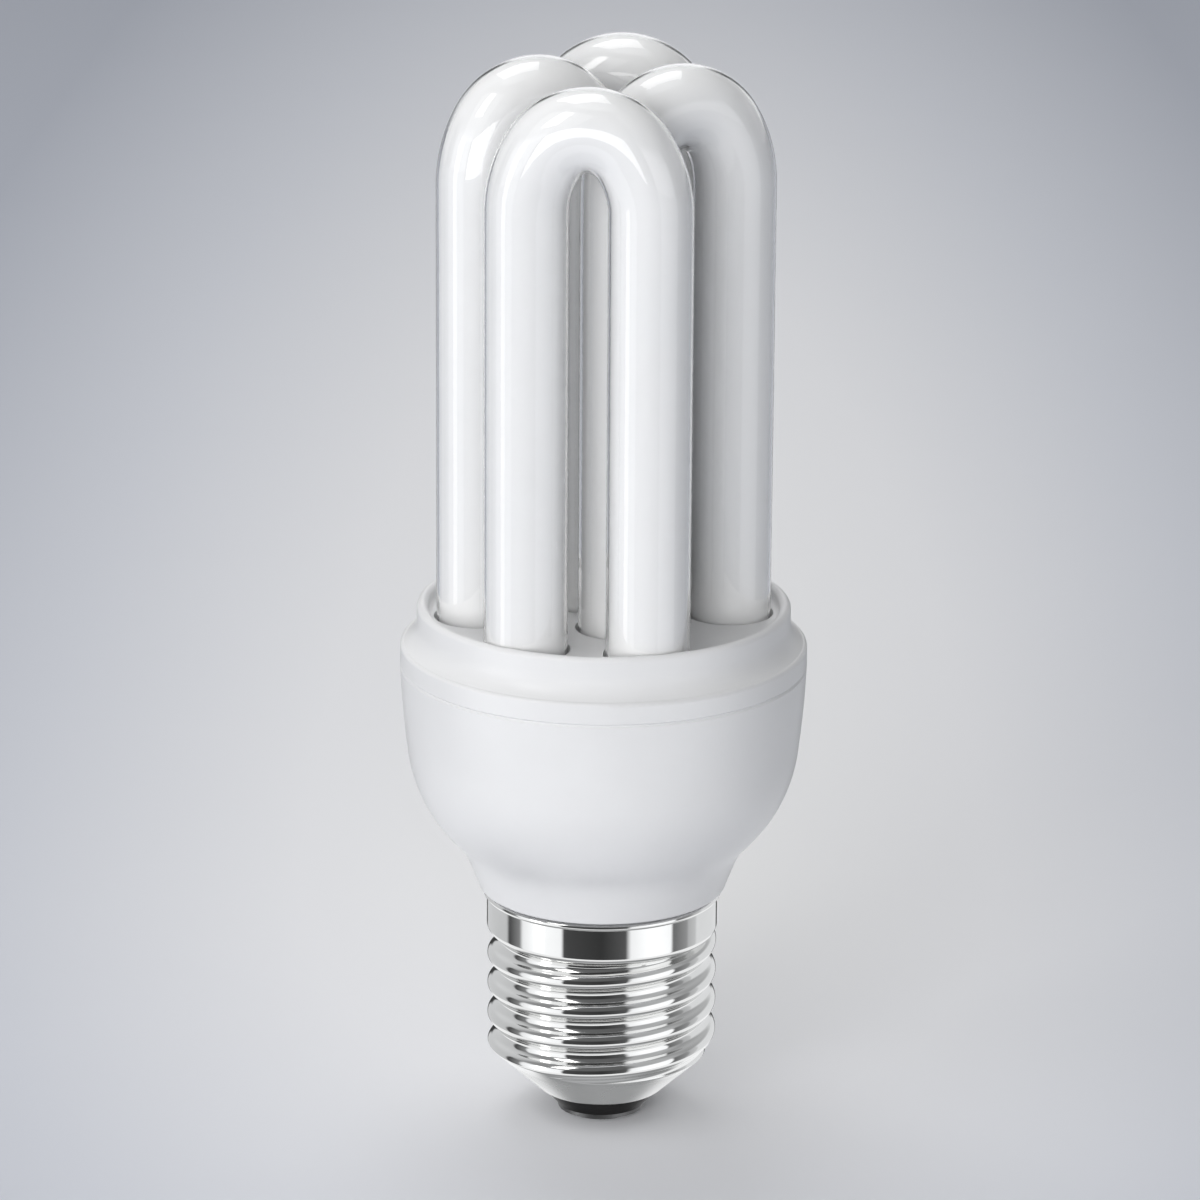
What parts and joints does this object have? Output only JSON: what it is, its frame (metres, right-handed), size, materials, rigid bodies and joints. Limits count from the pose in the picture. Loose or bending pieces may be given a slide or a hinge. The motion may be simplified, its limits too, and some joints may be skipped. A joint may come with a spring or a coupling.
{
  "type": "compact fluorescent bulb",
  "caption": "Compact fluorescent bulb: U-bent white discharge tubes on a white plastic ballast housing, with an E27 screw cap.",
  "frame": {"origin": "centre of the centre contact's end face, at the tip of the screw cap", "axes": "+Z along the lamp's axis, from the cap's contact to the tubes; -Y towards the side that the picture shows"},
  "size_m": [0.046, 0.046, 0.1239],
  "materials": {
    "coated_glass": "white-coated discharge glass, polished",
    "white_plastic": "satin moulded",
    "bright_metal": "bright nickel plate, mirror polished",
    "black_glass": "moulded black glass",
    "contact_metal": "dull",
    "cement": "matte",
    "board_laminate": "matte laminate",
    "capacitor_sleeve": "shrunk sleeve",
    "ferrite": "fired ferrite",
    "bobbin_plastic": "moulded",
    "enamelled_copper": "enamelled wire",
    "black_moulding": "moulded",
    "film_coating": "dipped",
    "resistor_coating": "lacquered",
    "wire_insulation": "extruded",
    "plated_wire": "tinned"
  },
  "bodies": {
    "root": {"tube_front": "coated_glass", "tube_right": "coated_glass", "tube_rear": "coated_glass", "tube_left": "coated_glass", "tube_cement": "cement", "tube_holder": "white_plastic", "lower_housing": "white_plastic", "screw_cap": "bright_metal", "cap_insulator": "black_glass", "centre_contact": "contact_metal", "circuit_board": "board_laminate", "reservoir_capacitor": "capacitor_sleeve", "choke_core": "ferrite", "choke_bobbin": "bobbin_plastic", "choke_winding": "enamelled_copper", "transformer_core": "ferrite", "transformer_winding": "enamelled_copper", "transistors": "black_moulding", "rectifier_diodes": "black_moulding", "start_capacitor": "film_coating", "coupling_capacitor": "film_coating", "fusible_resistor": "resistor_coating", "live_lead": "wire_insulation", "neutral_lead": "wire_insulation", "filament_leads": "plated_wire"}
  },
  "joints": []
}
